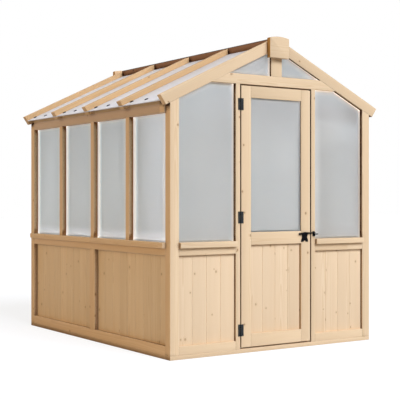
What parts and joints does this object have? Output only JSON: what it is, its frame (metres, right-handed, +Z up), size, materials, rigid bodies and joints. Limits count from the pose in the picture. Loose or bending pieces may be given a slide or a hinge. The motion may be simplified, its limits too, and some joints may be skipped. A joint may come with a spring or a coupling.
{
  "type": "greenhouse",
  "caption": "Timber-framed greenhouse with frosted wall and roof sheets, boarded lower walls, a pitched roof and a hinged door with a drop latch.",
  "frame": {"origin": "on the ground, under the middle of the whole greenhouse", "axes": "+X to the right as seen when facing the door, +Y from the door wall to the back wall, +Z up"},
  "size_m": [1.888, 2.242, 2.1659],
  "materials": {
    "frame_timber": "planed, clear oiled",
    "boarding": "planed, clear oiled",
    "roof_timber": "planed, clear oiled",
    "ridge_timber": "stained",
    "wall_sheet": "frosted, translucent",
    "roof_sheet": "opal, translucent",
    "weather_strip": "matt",
    "black_steel": "black, powder coated"
  },
  "bodies": {
    "frame": {"base_front": "frame_timber", "base_back": "frame_timber", "base_sides": "frame_timber", "front_posts": "frame_timber", "back_posts": "frame_timber", "left_rails": "frame_timber", "left_studs": "frame_timber", "left_sills": "frame_timber", "left_top_plate": "frame_timber", "right_rails": "frame_timber", "right_studs": "frame_timber", "right_sills": "frame_timber", "right_top_plate": "frame_timber", "front_jambs": "frame_timber", "front_rails": "frame_timber", "front_sills": "frame_timber", "front_collar": "frame_timber", "front_king_post": "frame_timber", "front_rakes": "frame_timber", "front_apex_block": "frame_timber", "door_stops": "frame_timber", "eaves_cleats": "frame_timber", "back_studs": "frame_timber", "back_rails": "frame_timber", "back_sill": "frame_timber", "back_collar": "frame_timber", "back_king_post": "frame_timber", "back_rakes": "frame_timber", "back_apex_block": "frame_timber", "wall_beads": "frame_timber", "left_boards": "boarding", "right_boards": "boarding", "front_boards": "boarding", "back_boards": "boarding", "rafters": "roof_timber", "sheet_ledgers": "roof_timber", "eaves_blocks": "roof_timber", "rafter_caps": "roof_timber", "ridge_board": "ridge_timber", "left_panes": "wall_sheet", "right_panes": "wall_sheet", "front_panes": "wall_sheet", "front_gable_panes": "wall_sheet", "back_panes": "wall_sheet", "back_gable_panes": "wall_sheet", "roof_sheets": "roof_sheet", "ridge_strip": "weather_strip", "roof_screws": "black_steel", "hinge_jamb_leaves": "black_steel", "hinge_pins": "black_steel", "latch_keeper": "black_steel"},
    "door": {"door_stiles": "frame_timber", "door_rails": "frame_timber", "door_boards": "boarding", "door_pane": "wall_sheet", "door_beads": "frame_timber", "hinge_door_leaves": "black_steel", "latch_plate": "black_steel"},
    "lever": {"latch_lever": "black_steel"}
  },
  "joints": [
    {"name": "door_swing", "type": "hinge", "parent": "frame", "child": "door", "pos_m": [-0.307, -1.0895, 0.92], "axis": [0, 0, -1], "range_deg": [0, 150]},
    {"name": "latch_lift", "type": "hinge", "parent": "door", "child": "lever", "pos_m": [0.25, -1.0925, 0.802], "axis": [0, -1, 0], "range_deg": [-8, 0]}
  ]
}
